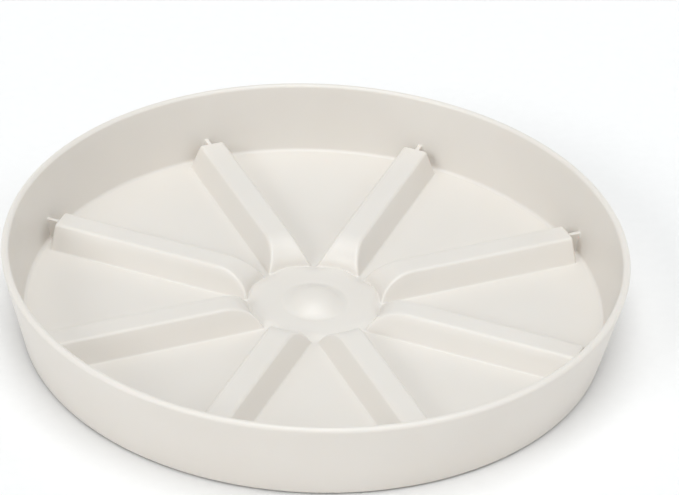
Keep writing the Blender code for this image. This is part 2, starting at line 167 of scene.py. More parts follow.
# ---------------------------------------------------------------- sizes of the hidden pieces
BALL_COUNT = 24
BALL_ANGLES = [TAU * (index + 0.5) / BALL_COUNT for index in range(BALL_COUNT)]
BALL_HEIGHT = 3.25 * MM
BALL_SIDES = 48
TRACK_RADIUS = 60.0 * MM
GROOVE_RADIUS = 1.35 * MM            # ball grooves in the tray's rail and in the base
GROOVE_STEPS = 16

PLATE_THICKNESS = 1.6 * MM
PLATE_SIDES = 360
PLATE_RIM_HEIGHT = 1.0 * MM          # outer rim and guide rings, above the plate
PLATE_RIM_WIDTH = 1.4 * MM
PLATE_HOLE = 5.5 * MM
GUIDE_OFFSET = 5.4 * MM              # guide rings, measured from the ball track
GUIDE_WIDTH = 1.1 * MM
CROWN_WALL = 1.4 * MM                # raised centre of the base
CROWN_EDGE = 12.5 * MM
CROWN_FOOT = 15.3 * MM
CROWN_HOLLOW_TOP = 11.1 * MM
CROWN_HOLLOW_FOOT = 13.3 * MM
SMALL_ROUND = 0.25 * MM
WIDE_ROUND = 0.4 * MM
STIFFENER_COUNT = 8
STIFFENER_START = 12.2 * MM
STIFFENER_HEIGHT = 0.9 * MM
STIFFENER_HALF = 0.60 * MM
STIFFENER_FILLET = 0.45 * MM
STIFFENER_CREST = 0.35 * MM
STIFFENER_SINK = 0.02 * MM           # how far its fillets sink into the plate
STIFFENER_ROOT = 6.0 * STIFFENER_SINK    # and how deep its bottom lies in it
STIFFENER_STEPS = 6

FOOT_COUNT = 6
FOOT_EDGE = 0.3 * MM
FOOT_SIDES = 64
FOOT_GROOVES = (3.1 * MM, 1.7 * MM)
FOOT_GROOVE_DEPTH = 0.18 * MM
FOOT_GROOVE_MOUTH = 0.25 * MM        # half the groove's width at the face
FOOT_GROOVE_FLOOR = 0.12 * MM
FOOT_GROOVE_MOUTH_ROUND = 0.05 * MM
FOOT_GROOVE_FLOOR_ROUND = 0.04 * MM
RECESS_GAP = 0.3 * MM                # round a foot pad
RECESS_HEADROOM = 0.2 * MM           # above it
EDGE_MIDDLE = 0.3                    # middle point of a cutter's chamfer, as a share of the chamfer
LIP_OVERRUN = 0.2                    # and how far the one at a mouth runs on past the face

BUSH_GAP = 0.2 * MM                  # round the boss
BUSH_WALL = 1.1 * MM
BUSH_FLANGE = 0.6 * MM
BUSH_EDGE = 0.15 * MM
WASHER_HOLE = 1.75 * MM
WASHER_EDGE = 0.14 * MM
RING_SIDES = 96                      # of the bush and the washer

CAGE_HALF = 4.8 * MM
CAGE_EDGE = 0.25 * MM
CAGE_SIDES = 288
POCKET_RADIUS = 1.5 * MM
POCKET_FLARE = 0.16 * MM             # how much wider the pocket is at its mouths
FLARE_MIDDLE = 0.5                   # depth of the flare's middle point, over the flare's width
FLARE_DEPTH = 1.5                    # and depth of its end

SCREW_SIDES = 192
SCREW_HEAD_HEIGHT = 1.4 * MM
SCREW_CROWN_ROUND = 0.85 * MM
SCREW_CROWN_STEPS = 10
SCREW_SHOULDER = 0.12 * MM           # chamfer at the head's seat
SCREW_NECK = 1.1 * MM
THREAD_PITCH = 0.85 * MM
THREAD_CREST = 1.4 * MM
THREAD_ROOT = 1.02 * MM
THREAD_ROWS = 110
THREAD_START = 0.3 * MM              # above the seat
THREAD_LAND = 1.25                   # height of the ridge before its crest is cut flat
THREAD_FLANK = 3.6                   # steepness of its flanks, per pitch
THREAD_RUN_OUT = 1.6 * THREAD_PITCH
POINT_RADIUS = 0.25 * MM
POINT_TAPER = 0.45                   # share of the radius lost towards the point
POINT_LENGTH = 1.5 * THREAD_PITCH
SHANK_TOP_GAP = 0.05 * MM            # between the shank's rows and the tip
SHANK_FOOT_GAP = 0.1 * MM            # and between them and the seat
CROSS_ARM = 1.72 * MM                # cross recess in the head
CROSS_HALF = 0.42 * MM
CROSS_DEPTH = 0.95 * MM
CROSS_FALL = 0.25                    # it gets shallower by this much per unit of radius
CROSS_WALL_SLOPE = 5.0
CROSS_INNERMOST = 0.02 * MM
CROSS_ROWS = 64

# ---------------------------------------------------------------- settings of the materials and the studio
NOISE_ROUGHNESS = 0.55
COLOR_SPAN = (0.35, 0.65)            # part of a noise that drives a colour
ROUGHNESS_SPAN = (0.3, 0.7)          # and a roughness
GRAIN_SPREAD = 0.06                  # of a moulded grain's roughness, either way
STEEL_DARK = 0.82                    # share of its colour that mottled steel keeps
SCRATCH_SCALE = 6.0                  # of its scratches, over that of its mottling
SCRATCH_STRETCH = 12.0
SCRATCH_ROUGHNESS = 0.15             # added where it is scratched most

FLOOR_PROFILE = ((0.2, 0.0), (1.0, 0.0), (3.5, 0.0), (4.2, 0.10), (4.8, 0.45), (5.1, 1.1), (5.2, 2.2))
FLOOR_SIDES = 96
LIGHT_COLOR = (0.97, 1.005, 1.03)
SKY_STRENGTH = 0.30
# Name, azimuth, elevation, strength and spread, with the angles in degrees.
STUDIO_LIGHTS = (("overhead", 0.0, 90.0, 1.24, 40.0), ("front", 0.0, 55.0, 0.78, 30.0),
                 ("front_left", -45.0, 30.0, 1.02, 25.0), ("front_right", 45.0, 45.0, 0.22, 30.0),
                 ("right", 90.0, 28.0, 0.32, 30.0))


# ---------------------------------------------------------------- distance fields for moulded shapes
def round_meet(radius, *distances):
    """The space inside all the given ones, with its edges rounded."""
    stack = np.stack(np.broadcast_arrays(*distances))
    corner = np.sqrt((np.maximum(stack + radius, 0.0) ** 2).sum(0))
    return np.minimum(-radius, stack.max(0)) + corner


def round_join(radius, first, second):
    """The space inside either one, with a fillet where they meet."""
    corner = np.hypot(np.maximum(radius - first, 0.0), np.maximum(radius - second, 0.0))
    return np.maximum(radius, np.minimum(first, second)) - corner


def smooth_step(low, high, value):
    share = np.clip((value - low) / (high - low), 0.0, 1.0)
    return share * share * (3.0 - 2.0 * share)


def rib_field(u, v, z, wall):
    """A rib along u, a wall thickness inside its outer faces."""
    slope = math.hypot(1.0, RIB_DRAFT)
    run = SHOULDER_RUN - wall
    rise = RIB_TOP - wall - SHOULDER_ROOT
    back = np.maximum(KNEE_RADIUS - np.hypot(u, v), 0.0)
    height = np.maximum(z - SHOULDER_ROOT, SHOULDER_LEAST)
    scale = np.hypot(back / run, height / rise)
    top = scale * (scale - 1.0) / np.hypot(back / run ** 2, height / rise ** 2)
    side = (np.abs(v) - RIB_HALF_WIDTH - (RIB_TOP - z) * RIB_DRAFT) / slope + wall
    end = u - RIB_END - (RIB_TOP - z) * RIB_END_DRAFT + wall
    return round_meet(RIB_EDGE if wall == 0.0 else HOLLOW_EDGE, top, side, end)


def inner_wall_radius(z):
    top = (RIM_RADIUS - 2.0 * RIM_ROUND, RIM_TOP - RIM_ROUND)
    return FLOOR_RADIUS + (z - FLOOR_TOP) * (top[0] - FLOOR_RADIUS) / (top[1] - FLOOR_TOP)


def pad_height(u, v):
    """Height of the floor and pad, whose soft edge is wider between the ribs."""
    r = np.hypot(u, v)
    between = 0.5 - 0.5 * np.cos(math.pi * np.arctan2(v, u) / HALF_PITCH)
    fall = PAD_EDGE_RIB + (PAD_EDGE_SECTOR - PAD_EDGE_RIB) * between
    pad = PAD_TOP - (PAD_TOP - FLOOR_TOP) * smooth_step(PAD_FOOT - fall, PAD_FOOT, r)
    return pad - DIP_DEPTH * np.exp(-(((r - DIP_RADIUS) / DIP_WIDTH) ** 2))


def upper_field(u, v, z):
    """Everything solid that can be seen from above."""
    r = np.hypot(u, v)
    sphere = (DOME_RADIUS ** 2 + DOME_HEIGHT ** 2) / (2.0 * DOME_HEIGHT)
    dome = np.hypot(r, z - (PAD_TOP + DOME_HEIGHT - sphere)) - sphere
    solid = round_join(DOME_FILLET, z - pad_height(u, v), dome)
    wall_slope = math.hypot(1.0, inner_wall_radius(1.0) - inner_wall_radius(0.0))
    solid = round_join(FLOOR_FILLET, solid, (inner_wall_radius(z) - r) / wall_slope)
    solid = round_join(RIB_FILLET, solid, rib_field(u, v, z, 0.0))
    web_side = np.abs(v) - WEB_HALF - WEB_DRAFT * (WEB_TOP - z)
    web = round_meet(WEB_ROUND, z - WEB_TOP, web_side, RIB_END - WEB_OVERLAP - u)
    return round_join(WEB_ROUND, solid, web)


def lower_cavity(u, v, z):
    """The open space that can be seen from below."""
    r = np.hypot(u, v)
    lift = 1.0 - smooth_step(HUB_RECESS_RADIUS - HUB_RECESS_SLOPE, HUB_RECESS_RADIUS + HUB_RECESS_SLOPE, r)
    cavity = z - FLOOR_UNDERSIDE - (HUB_UNDERSIDE - FLOOR_UNDERSIDE) * lift
    cavity = round_join(MOUTH_FILLET, cavity, rib_field(u, v, z, RIB_WALL))
    rail = round_meet(TURNED_EDGE, np.abs(r - TRACK_RADIUS) - RAIL_HALF, RAIL_BOTTOM - z)
    cavity = np.maximum(cavity, -rail)
    groove = np.hypot(r - TRACK_RADIUS, z - BALL_HEIGHT) - GROOVE_RADIUS
    cavity = np.minimum(cavity, groove)
    boss = round_meet(TURNED_EDGE, r - BOSS_RADIUS, BOSS_BOTTOM - z)
    cavity = np.maximum(cavity, -boss)
    pilot = np.maximum(r - PILOT_RADIUS, z - PILOT_TOP)
    return np.minimum(cavity, pilot)


def solve_height(field, u, v, low, high):
    """Height at which a field that rises with z crosses zero."""
    low = np.full_like(u, low)
    high = np.full_like(u, high)
    for _ in range(HALVINGS):
        middle = (low + high) / 2.0
        above = field(u, v, middle) > 0.0
        high = np.where(above, middle, high)
        low = np.where(above, low, middle)
    return (low + high) / 2.0


# ---------------------------------------------------------------- building the tray
def half_row(radius, offsets, square):
    """Radii and angles of half a wedge's columns, from a rib's centre line to mid-sector.

    Where square is 1 the row runs straight across the rib, and where it is 0 it is an arc.
    """
    reach = max(radius, FAN_RADIUS)
    radii = np.sqrt(radius ** 2 + square * offsets ** 2)
    beside = np.arcsin(offsets / np.sqrt(reach ** 2 + square * offsets ** 2))
    fan = np.linspace(beside[-1], HALF_PITCH, FAN_COLUMNS + 1)[1:]
    return np.concatenate([radii, np.full(FAN_COLUMNS, radii[-1])]), np.concatenate([beside, fan])


def rib_columns(columns, stops, radius, wall):
    """Move the columns of a rib's edge outward where its shoulder sinks to the hub."""
    center, edge_start, edge_end, foot, last = stops
    reach = max(radius, FAN_RADIUS)
    back = min(max(KNEE_RADIUS - reach, 0.0) / (SHOULDER_RUN - wall), 1.0)
    sunk = (RIB_TOP - wall - SHOULDER_ROOT) * (1.0 - math.sqrt(1.0 - back ** 2))
    shift = min(RIB_DRAFT * sunk, foot - edge_end - COLUMN_GAP)
    last = min(last, FAN_SHARE * reach * math.sin(HALF_PITCH))
    return np.interp(columns, stops, [center, edge_start + shift, edge_end + shift, foot, last])


def full_row(radii, angles, heights):
    """Mirror half a wedge and repeat it round the axis."""
    radii = np.concatenate([radii[-2:0:-1], radii])
    heights = np.concatenate([heights[-2:0:-1], heights])
    angles = np.concatenate([-angles[-2:0:-1], angles])
    points = []
    for index in range(RIB_COUNT):
        turned = angles + HALF_PITCH * (2 * index + 1)
        points.append(np.stack([radii * np.cos(turned), radii * np.sin(turned), heights], 1))
    return np.concatenate(points)


def turned_row(radius, height, angles):
    return full_row(np.full(len(angles), radius), angles, np.full(len(angles), height))


def field_rows(field, stretches, square_spans, columns, stops, wall, search):
    """Rows over the ribbed part of one side of the tray."""
    rows = []
    for start, end, count in stretches:
        for station in np.linspace(start, end, count, endpoint=False):
            square = sum(smooth_step(rise, full, station) * (1.0 - smooth_step(fall, flat, station))
                         for rise, full, fall, flat in square_spans)
            offsets = rib_columns(columns, stops, station * MM, wall)
            radii, angles = half_row(station * MM, offsets, square)
            heights = solve_height(field, radii * np.cos(angles), radii * np.sin(angles), *search)
            rows.append(full_row(radii, angles, heights))
    return rows


def arc(center, radius, start, end, steps):
    """Points (r, z) on a circle, with the angles in degrees."""
    turn = np.radians(np.linspace(start, end, steps + 1))
    return [(center[0] + radius * math.cos(a), center[1] + radius * math.sin(a)) for a in turn]


def outline_rows():
    """Rows over the rim, down the outer wall and up inside the skirt."""
    rim_center = (RIM_RADIUS - RIM_ROUND, RIM_TOP - RIM_ROUND)
    rim = arc(rim_center, RIM_ROUND, 180.0 - INNER_LEAN, -OUTER_LEAN, RIM_STEPS)
    skirt_inside = SKIRT_RADIUS - SKIRT_WALL
    outer_foot = (SKIRT_RADIUS - FOOT_ROUND + FOOT_SHIFT, SKIRT_BOTTOM + FOOT_ROUND)
    inner_foot = (skirt_inside + FOOT_ROUND + FOOT_SHIFT, SKIRT_BOTTOM + FOOT_ROUND)
    foot = arc(outer_foot, FOOT_ROUND, -OUTER_LEAN, -90.0, FOOT_STEPS)
    foot += arc(inner_foot, FOOT_ROUND, -90.0, -180.0 - OUTER_LEAN, FOOT_STEPS)
    corner = (skirt_inside + SKIRT_FLARE - SKIRT_CORNER, FLOOR_UNDERSIDE - SKIRT_CORNER)
    top_corner = arc(corner, SKIRT_CORNER, -OUTER_LEAN, 90.0, FOOT_STEPS)
    wall = []
    for step in range(1, WALL_STEPS):
        share = step / WALL_STEPS
        wall.append(tuple(a + share * (b - a) for a, b in zip(rim[-1], foot[0])))
    top_angles = half_row(RIM_RADIUS, TOP_COLUMNS, 0.0)[1]
    under_angles = half_row(skirt_inside, UNDER_COLUMNS, 0.0)[1]
    rows = []
    for index, (radius, height) in enumerate(rim + wall + foot + top_corner):
        share = min(max((index - len(rim)) / WALL_STEPS, 0.0), 1.0)
        rows.append(turned_row(radius, height, top_angles + share * (under_angles - top_angles)))
    return rows


def shade(mesh):
    mesh.shade_smooth()
    mesh.set_sharp_from_angle(angle=SHARP_ANGLE)
    return mesh


def skin_rows(name, rows, top_pole, bottom_pole):
    """One closed mesh from rows of equal length, with a fan of triangles at each end."""
    count = len(rows[0])
    vertices = np.concatenate([np.array([top_pole])] + rows + [np.array([bottom_pole])])
    last = len(vertices) - 1
    here = np.arange(count)
    after = (here + 1) % count
    faces = [(0, int(1 + a), int(1 + b)) for a, b in zip(here, after)]
    for index in range(len(rows) - 1):
        upper = 1 + index * count
        lower = upper + count
        quads = np.stack([upper + here, lower + here, lower + after, upper + after], 1)
        faces += quads.tolist()
    base = last - count
    faces += [(last, int(base + b), int(base + a)) for a, b in zip(here, after)]
    mesh = bpy.data.meshes.new(name)
    mesh.from_pydata(vertices.tolist(), [], faces)
    mesh.validate()
    return shade(mesh)


def add_piece(name, mesh, material):
    piece = bpy.data.objects.new(name, mesh)
    bpy.context.scene.collection.objects.link(piece)
    mesh.materials.clear()
    mesh.materials.append(material)
    return piece


def make_tray(material):
    rows = field_rows(upper_field, TOP_STRETCHES, TOP_SQUARE_SPANS, TOP_COLUMNS, TOP_STOPS, 0.0, TOP_SEARCH)
    rows += outline_rows()
    rows += field_rows(lower_cavity, UNDER_STRETCHES, UNDER_SQUARE_SPANS, UNDER_COLUMNS, UNDER_STOPS,
                       RIB_WALL, UNDER_SEARCH)
    mesh = skin_rows("tray_shell", rows, (0.0, 0.0, PAD_TOP + DOME_HEIGHT), (0.0, 0.0, PILOT_TOP))
    tray = add_piece("tray_shell", mesh, material)
    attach(tray, "turntable")
    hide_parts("tray")


# ---------------------------------------------------------------- materials
def new_material(name, color, roughness, metallic=0.0):
    material = bpy.data.materials.new(name)
    material.use_nodes = True
    shader = material.node_tree.nodes["Principled BSDF"]
    shader.inputs["Base Color"].default_value = (*color, 1.0)
    shader.inputs["Roughness"].default_value = roughness
    shader.inputs["Metallic"].default_value = metallic
    return material, material.node_tree.nodes, material.node_tree.links, shader


def add_noise(nodes, links, scale, detail, stretch_z=1.0):
    """Noise over the piece itself, so it stays put when the piece turns."""
    coordinates = nodes.new("ShaderNodeTexCoord")
    mapping = nodes.new("ShaderNodeMapping")
    mapping.inputs["Scale"].default_value = (1.0, 1.0, stretch_z)
    noise = nodes.new("ShaderNodeTexNoise")
    noise.inputs["Scale"].default_value = scale
    noise.inputs["Detail"].default_value = detail
    noise.inputs["Roughness"].default_value = NOISE_ROUGHNESS
    links.new(coordinates.outputs["Object"], mapping.inputs["Vector"])
    links.new(mapping.outputs["Vector"], noise.inputs["Vector"])
    return noise.outputs["Fac"]


def vary_color(nodes, links, shader, factor, dark, light):
    """Drive the colour by the middle part of a noise."""
    ramp = nodes.new("ShaderNodeValToRGB")
    ramp.color_ramp.elements[0].position = COLOR_SPAN[0]
    ramp.color_ramp.elements[0].color = (*dark, 1.0)
    ramp.color_ramp.elements[1].position = COLOR_SPAN[1]
    ramp.color_ramp.elements[1].color = (*light, 1.0)
    links.new(factor, ramp.inputs["Fac"])
    links.new(ramp.outputs["Color"], shader.inputs["Base Color"])


def vary_roughness(nodes, links, shader, factor, low, high):
    """Drive the roughness by the middle part of a noise."""
    ramp = nodes.new("ShaderNodeMapRange")
    ramp.inputs["From Min"].default_value = ROUGHNESS_SPAN[0]
    ramp.inputs["From Max"].default_value = ROUGHNESS_SPAN[1]
    ramp.inputs["To Min"].default_value = low
    ramp.inputs["To Max"].default_value = high
    links.new(factor, ramp.inputs["Value"])
    links.new(ramp.outputs["Result"], shader.inputs["Roughness"])


def add_bumps(nodes, links, shader, layers):
    """Stack bumps, each a height socket, a strength and a distance in metres."""
    normal = None
    for height, strength, distance in layers:
        bump = nodes.new("ShaderNodeBump")
        bump.inputs["Strength"].default_value = strength
        bump.inputs["Distance"].default_value = distance
        links.new(height, bump.inputs["Height"])
        if normal is not None:
            links.new(normal, bump.inputs["Normal"])
        normal = bump.outputs["Normal"]
    links.new(normal, shader.inputs["Normal"])


def tray_plastic():
    """Ivory polypropylene with a satin, finely grained skin."""
    material, nodes, links, shader = new_material("tray_ivory_plastic", (0.711, 0.668, 0.614), 0.42)
    cloud = add_noise(nodes, links, scale=22.0, detail=2.0)
    vary_color(nodes, links, shader, cloud, dark=(0.703, 0.659, 0.604), light=(0.719, 0.677, 0.624))
    grain = add_noise(nodes, links, scale=2600.0, detail=2.0)
    patches = add_noise(nodes, links, scale=60.0, detail=3.0)
    vary_roughness(nodes, links, shader, patches, low=0.33, high=0.42)
    swell = add_noise(nodes, links, scale=45.0, detail=1.0)
    add_bumps(nodes, links, shader, [(swell, 0.05, 0.8 * MM), (grain, 0.10, 0.04 * MM)])
    shader.inputs["Specular IOR Level"].default_value = 0.5
    shader.inputs["Subsurface Weight"].default_value = 0.12
    shader.inputs["Subsurface Radius"].default_value = (1.0, 0.75, 0.5)
    shader.inputs["Subsurface Scale"].default_value = 1.5 * MM
    return material


def moulded_plastic(name, dark, light, roughness, grain_scale):
    """Matt moulded plastic with a spark-eroded grain."""
    material, nodes, links, shader = new_material(name, light, roughness)
    cloud = add_noise(nodes, links, scale=30.0, detail=3.0)
    vary_color(nodes, links, shader, cloud, dark, light)
    grain = add_noise(nodes, links, grain_scale, detail=3.0)
    vary_roughness(nodes, links, shader, grain, roughness - GRAIN_SPREAD, roughness + GRAIN_SPREAD)
    add_bumps(nodes, links, shader, [(grain, 0.25, 0.05 * MM)])
    return material


def scratched_steel(name, color, roughness, scale):
    """Steel with fine scratches over a mottled surface."""
    material, nodes, links, shader = new_material(name, color, roughness, metallic=1.0)
    mottle = add_noise(nodes, links, scale, detail=4.0)
    vary_color(nodes, links, shader, mottle, tuple(STEEL_DARK * channel for channel in color), color)
    scratches = add_noise(nodes, links, SCRATCH_SCALE * scale, detail=2.0, stretch_z=SCRATCH_STRETCH)
    vary_roughness(nodes, links, shader, scratches, roughness, roughness + SCRATCH_ROUGHNESS)
    add_bumps(nodes, links, shader, [(scratches, 0.15, 0.02 * MM)])
    return material


def pad_rubber():
    """Dark rubber with a dusty, pebbled skin."""
    material, nodes, links, shader = new_material("pad_rubber", (0.03, 0.03, 0.03), 0.75)
    dust = add_noise(nodes, links, scale=500.0, detail=4.0)
    vary_color(nodes, links, shader, dust, dark=(0.022, 0.022, 0.023), light=(0.055, 0.053, 0.050))
    vary_roughness(nodes, links, shader, dust, low=0.65, high=0.85)
    pebbles = add_noise(nodes, links, scale=1800.0, detail=2.0)
    add_bumps(nodes, links, shader, [(pebbles, 0.4, 0.1 * MM)])
    return material


# ---------------------------------------------------------------- turned and cut pieces
def rounded_outline(corners, steps=5):
    """Round the corners (r, z, radius) of a closed outline."""
    points = []
    for before, corner, after in zip(corners[-1:] + corners[:-1], corners, corners[1:] + corners[:1]):
        place = Vector(corner[:2])
        radius = corner[2]
        if radius == 0.0:
            points.append(place)
            continue
        back = (Vector(before[:2]) - place).normalized()
        ahead = (Vector(after[:2]) - place).normalized()
        half = back.angle(ahead) / 2.0
        center = place + (back + ahead).normalized() * (radius / math.sin(half))
        start = (place + back * (radius / math.tan(half)) - center).normalized()
        end = (place + ahead * (radius / math.tan(half)) - center).normalized()
        points += [center + radius * start.slerp(end, step / steps) for step in range(steps + 1)]
    return points


def finish_mesh(name, bm):
    bmesh.ops.recalc_face_normals(bm, faces=bm.faces)
    mesh = bpy.data.meshes.new(name)
    bm.to_mesh(mesh)
    bm.free()
    return shade(mesh)


def turned_body(bm, outline, steps, center=(0.0, 0.0)):
    """Turn an outline of (r, z) points into a ring, or into a solid where it touches the axis."""
    turns = [TAU * step / steps for step in range(steps)]
    rings = []
    for radius, height in outline:
        if radius == 0.0:
            rings.append([bm.verts.new((center[0], center[1], height))] * steps)
            continue
        rings.append([bm.verts.new((center[0] + radius * math.cos(turn),
                                    center[1] + radius * math.sin(turn), height)) for turn in turns])
    for upper, lower in zip(rings, rings[1:] + rings[:1]):
        for step in range(steps):
            after = (step + 1) % steps
            corners = list(dict.fromkeys([upper[step], upper[after], lower[after], lower[step]]))
            if len(corners) > 2:
                bm.faces.new(corners)


def turned_mesh(name, outline, steps, center=(0.0, 0.0)):
    bm = bmesh.new()
    turned_body(bm, outline, steps, center)
    return finish_mesh(name, bm)


def cutters_mesh(name, outline, steps, ring, turns):
    """Equal turned cutters, spaced round a ring."""
    bm = bmesh.new()
    for turn in turns:
        turned_body(bm, outline, steps, (ring * math.cos(turn), ring * math.sin(turn)))
    return finish_mesh(name, bm)


def combine(mesh, tool, operation):
    """Join or cut one mesh with another, and return the result without slivers."""
    pieces = [bpy.data.objects.new("work", mesh), bpy.data.objects.new("tool", tool)]
    for piece in pieces:
        bpy.context.scene.collection.objects.link(piece)
    modifier = pieces[0].modifiers.new("combine", "BOOLEAN")
    modifier.operation = operation
    modifier.solver = "EXACT"
    modifier.object = pieces[1]
    evaluated = pieces[0].evaluated_get(bpy.context.evaluated_depsgraph_get())
    result = bpy.data.meshes.new_from_object(evaluated)
    result.name = mesh.name
    for piece in pieces:
        bpy.data.objects.remove(piece)
    bm = bmesh.new()
    bm.from_mesh(result)
    bmesh.ops.remove_doubles(bm, verts=bm.verts, dist=WELD)
    bmesh.ops.dissolve_degenerate(bm, edges=bm.edges, dist=WELD)
    bm.to_mesh(result)
    bm.free()
    return shade(result)


def stand_in(name, mesh, material, body, node):
    """A fine piece that stands for one CAD node."""
    piece = add_piece(name, mesh, material)
    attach(piece, body)
    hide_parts(node)


# ---------------------------------------------------------------- the pieces under the tray
def stiffener_body(bm, start, end, plate_top, top):
    """A low rib along +X with a rounded top and filleted feet, sunk a little into the plate."""
    foot_center = (STIFFENER_HALF + STIFFENER_FILLET, plate_top - STIFFENER_SINK + STIFFENER_FILLET)
    crest_center = (STIFFENER_HALF - STIFFENER_CREST, top - STIFFENER_CREST)
    right = [(STIFFENER_HALF + STIFFENER_FILLET, plate_top - STIFFENER_ROOT)]
    right += arc(foot_center, STIFFENER_FILLET, 270.0, 180.0, STIFFENER_STEPS)
    right += arc(crest_center, STIFFENER_CREST, 0.0, 90.0, STIFFENER_STEPS)
    section = right + [(-y, z) for y, z in reversed(right)]
    near = [bm.verts.new((start, y, z)) for y, z in section]
    far = [bm.verts.new((end, y, z)) for y, z in section]
    count = len(section)
    for index in range(count):
        after = (index + 1) % count
        bm.faces.new((near[index], near[after], far[after], far[index]))
    bm.faces.new(near)
    bm.faces.new(far)


def plate_outline(low, high, plate_top):
    """Half section of the base: crown, rim, guide rings and the balls' groove between them."""
    rim_top = plate_top + PLATE_RIM_HEIGHT
    crown_under = high.z - CROWN_WALL
    rim_inside = high.x - PLATE_RIM_WIDTH
    guides = (TRACK_RADIUS + GUIDE_OFFSET + GUIDE_WIDTH, TRACK_RADIUS + GUIDE_OFFSET,
              TRACK_RADIUS - GUIDE_OFFSET, TRACK_RADIUS - GUIDE_OFFSET - GUIDE_WIDTH)
    depth = BALL_HEIGHT - plate_top
    edge = math.degrees(math.atan2(depth, math.sqrt(GROOVE_RADIUS ** 2 - depth ** 2)))
    groove = arc((TRACK_RADIUS, BALL_HEIGHT), GROOVE_RADIUS, -edge, edge - 180.0, GROOVE_STEPS)
    corners = [(PLATE_HOLE, crown_under, SMALL_ROUND), (CROWN_HOLLOW_TOP, crown_under, WIDE_ROUND),
               (CROWN_HOLLOW_FOOT, low.z, WIDE_ROUND), (high.x, low.z, WIDE_ROUND),
               (high.x, rim_top, WIDE_ROUND), (rim_inside, rim_top, WIDE_ROUND),
               (rim_inside, plate_top, SMALL_ROUND)]
    corners += [(guides[0], plate_top, SMALL_ROUND), (guides[0], rim_top, WIDE_ROUND),
                (guides[1], rim_top, WIDE_ROUND), (guides[1], plate_top, SMALL_ROUND)]
    corners += [(r, z, 0.0) for r, z in groove]
    corners += [(guides[2], plate_top, SMALL_ROUND), (guides[2], rim_top, WIDE_ROUND),
                (guides[3], rim_top, WIDE_ROUND), (guides[3], plate_top, SMALL_ROUND)]
    corners += [(CROWN_FOOT, plate_top, 2.0 * WIDE_ROUND), (CROWN_EDGE, high.z, WIDE_ROUND),
                (PLATE_HOLE, high.z, SMALL_ROUND)]
    return rounded_outline(corners)


def make_base_plate(material):
    low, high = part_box("base_plate")
    plate_top = low.z + PLATE_THICKNESS
    mesh = turned_mesh("base_shell", plate_outline(low, high, plate_top), PLATE_SIDES)

    bars = bmesh.new()
    for index in range(STIFFENER_COUNT):
        first = len(bars.verts)
        stiffener_body(bars, STIFFENER_START, TRACK_RADIUS - GUIDE_OFFSET - GUIDE_WIDTH / 2.0,
                       plate_top, plate_top + STIFFENER_HEIGHT)
        bars.verts.ensure_lookup_table()
        turn = Matrix.Rotation(TAU * index / STIFFENER_COUNT, 4, "Z")
        bmesh.ops.transform(bars, matrix=turn, verts=bars.verts[first:])
    mesh = combine(mesh, finish_mesh("bars", bars), "UNION")

    pad_low, pad_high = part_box("foot_pad_1")
    ring = (pad_high.x + pad_low.x) / 2.0
    ceiling = pad_high.z + RECESS_HEADROOM
    side = (pad_high.x - pad_low.x) / 2.0 + RECESS_GAP
    edge = SMALL_ROUND
    middle = EDGE_MIDDLE * edge
    overrun = LIP_OVERRUN * edge
    mouth = side + edge + overrun
    profile = [(0.0, ceiling), (side - edge, ceiling), (side - middle, ceiling - middle),
               (side, ceiling - edge), (side, low.z + edge), (side + middle, low.z + middle),
               (mouth, low.z - overrun), (mouth, 0.0), (0.0, 0.0)]
    turns = [TAU * index / FOOT_COUNT for index in range(FOOT_COUNT)]
    cutters = cutters_mesh("recesses", profile, FOOT_SIDES, ring, turns)
    mesh = combine(mesh, cutters, "DIFFERENCE")
    stand_in("base_shell", mesh, material, "base", "base_plate")


def make_foot_pads(material):
    """Rubber discs with two shallow grooves in the face they stand on."""
    for index in range(FOOT_COUNT):
        node = f"foot_pad_{index + 1}"
        low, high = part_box(node)
        center = (low + high) / 2.0
        radius = (high.x - low.x) / 2.0
        corners = [(radius, high.z, FOOT_EDGE), (radius, low.z, FOOT_EDGE)]
        for groove in FOOT_GROOVES:
            floor = low.z + FOOT_GROOVE_DEPTH
            corners += [(groove + FOOT_GROOVE_MOUTH, low.z, FOOT_GROOVE_MOUTH_ROUND),
                        (groove + FOOT_GROOVE_FLOOR, floor, FOOT_GROOVE_FLOOR_ROUND),
                        (groove - FOOT_GROOVE_FLOOR, floor, FOOT_GROOVE_FLOOR_ROUND),
                        (groove - FOOT_GROOVE_MOUTH, low.z, FOOT_GROOVE_MOUTH_ROUND)]
        outline = [(0.0, high.z)] + rounded_outline(corners) + [(0.0, low.z)]
        mesh = turned_mesh(node, outline, FOOT_SIDES, (center.x, center.y))
        stand_in(f"rubber_{node}", mesh, material, "base", node)


def make_pivot_bush(material):
    low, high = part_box("pivot_bush")
    inner = BOSS_RADIUS + BUSH_GAP
    outer = inner + BUSH_WALL
    flange_bottom = high.z - BUSH_FLANGE
    corners = [(inner, high.z, 2.0 * BUSH_EDGE), (high.x, high.z, BUSH_EDGE),
               (high.x, flange_bottom, BUSH_EDGE), (outer, flange_bottom, BUSH_EDGE),
               (outer, low.z, 2.0 * BUSH_EDGE), (inner, low.z, 2.0 * BUSH_EDGE)]
    mesh = turned_mesh("flanged_bush", rounded_outline(corners), RING_SIDES)
    stand_in("flanged_bush", mesh, material, "base", "pivot_bush")


def make_washer(material):
    low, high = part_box("retaining_washer")
    corners = [(WASHER_HOLE, high.z, WASHER_EDGE), (high.x, high.z, WASHER_EDGE),
               (high.x, low.z, WASHER_EDGE), (WASHER_HOLE, low.z, WASHER_EDGE)]
    mesh = turned_mesh("zinc_washer", rounded_outline(corners), RING_SIDES)
    stand_in("zinc_washer", mesh, material, "turntable", "retaining_washer")


